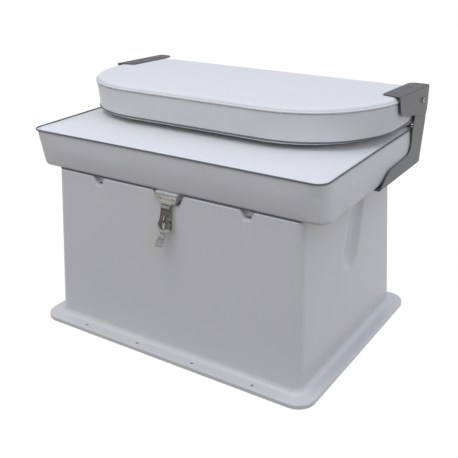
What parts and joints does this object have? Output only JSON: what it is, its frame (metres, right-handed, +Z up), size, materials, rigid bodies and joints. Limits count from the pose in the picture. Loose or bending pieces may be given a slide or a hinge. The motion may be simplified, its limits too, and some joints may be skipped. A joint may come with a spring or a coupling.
{
  "type": "fishing seat box",
  "caption": "White moulded boat seat locker with a foot flange, a hinged upholstered lid and a folding upholstered backrest on side brackets.",
  "frame": {"origin": "middle of the foot flange's underside, on the deck", "axes": "+X to the right of someone facing the front, along the seat; +Y to the rear, where the lid hinge is; +Z up"},
  "size_m": [0.8378, 0.6, 0.6226],
  "materials": {
    "gelcoat": "white gelcoat on moulded glass fibre, glossy",
    "vinyl": "white coated marine upholstery over foam, soft sheen",
    "piping": "grey vinyl piping",
    "board": "sealed plywood",
    "seal": "black foam rubber strip",
    "bracket": "mid grey powder coat, satin",
    "stainless": "polished stainless steel",
    "nylon": "natural nylon"
  },
  "bodies": {
    "box": {"box_shell": "gelcoat", "hinge_box_leaf": "stainless", "hinge_box_screw_1": "stainless", "hinge_box_screw_2": "stainless", "hinge_box_screw_3": "stainless", "hinge_box_screw_4": "stainless", "hinge_box_screw_5": "stainless", "hinge_box_screw_6": "stainless", "hinge_pin": "stainless", "eye_plate": "stainless", "eye_plate_screw_1": "stainless", "eye_plate_screw_2": "stainless"},
    "swivel_eye": {"swivel_eye": "stainless", "swivel_eye_nut": "stainless"},
    "lid": {"lid_board": "board", "lid_frame_front": "gelcoat", "lid_frame_rear": "gelcoat", "lid_frame_left": "gelcoat", "lid_frame_right": "gelcoat", "rim_seal_left": "seal", "rim_seal_right": "seal", "seat_cushion": "vinyl", "seat_piping": "piping", "hinge_lid_leaf": "stainless", "hinge_lid_screw_1": "stainless", "hinge_lid_screw_2": "stainless", "hinge_lid_screw_3": "stainless", "hinge_lid_screw_4": "stainless", "hinge_lid_screw_5": "stainless", "hinge_lid_screw_6": "stainless", "hasp_leaf": "stainless", "hasp_pin": "stainless", "hasp_leaf_screw_left": "stainless", "hasp_leaf_screw_right": "stainless", "seat_bracket_left": "bracket", "seat_bracket_right": "bracket", "seat_bracket_screw_left_1": "stainless", "seat_bracket_screw_left_2": "stainless", "seat_bracket_screw_left_3": "stainless", "seat_bracket_screw_right_1": "stainless", "seat_bracket_screw_right_2": "stainless", "seat_bracket_screw_right_3": "stainless", "pivot_bolt_left": "stainless", "pivot_bolt_right": "stainless", "pivot_washer_left": "nylon", "pivot_washer_right": "nylon", "pivot_nut_left": "stainless", "pivot_nut_right": "stainless"},
    "hasp_strap": {"hasp_strap": "stainless"},
    "backrest": {"backrest_panel": "vinyl", "backrest_cushion": "vinyl", "backrest_welt": "vinyl", "backrest_piping": "piping", "backrest_bracket_left": "bracket", "backrest_bracket_right": "bracket", "backrest_bracket_screw_left_front": "stainless", "backrest_bracket_screw_left_rear": "stainless", "backrest_bracket_screw_right_front": "stainless", "backrest_bracket_screw_right_rear": "stainless"}
  },
  "joints": [
    {"name": "lid_hinge", "type": "hinge", "parent": "box", "child": "lid", "pos_m": [0, 0.2423, 0.4127], "axis": [-1, 0, 0], "range_deg": [0, 100]},
    {"name": "backrest_fold", "type": "hinge", "parent": "lid", "child": "backrest", "pos_m": [0, 0.245, 0.579], "axis": [-1, 0, 0], "range_deg": [0, 97]},
    {"name": "hasp_pivot", "type": "hinge", "parent": "lid", "child": "hasp_strap", "pos_m": [0, -0.24777, 0.385], "axis": [-1, 0, 0], "range_deg": [0, 145]},
    {"name": "eye_turn", "type": "hinge", "parent": "box", "child": "swivel_eye", "pos_m": [0, -0.24222, 0.34484], "axis": [0, -0.9981, 0.0608], "continuous": true}
  ]
}
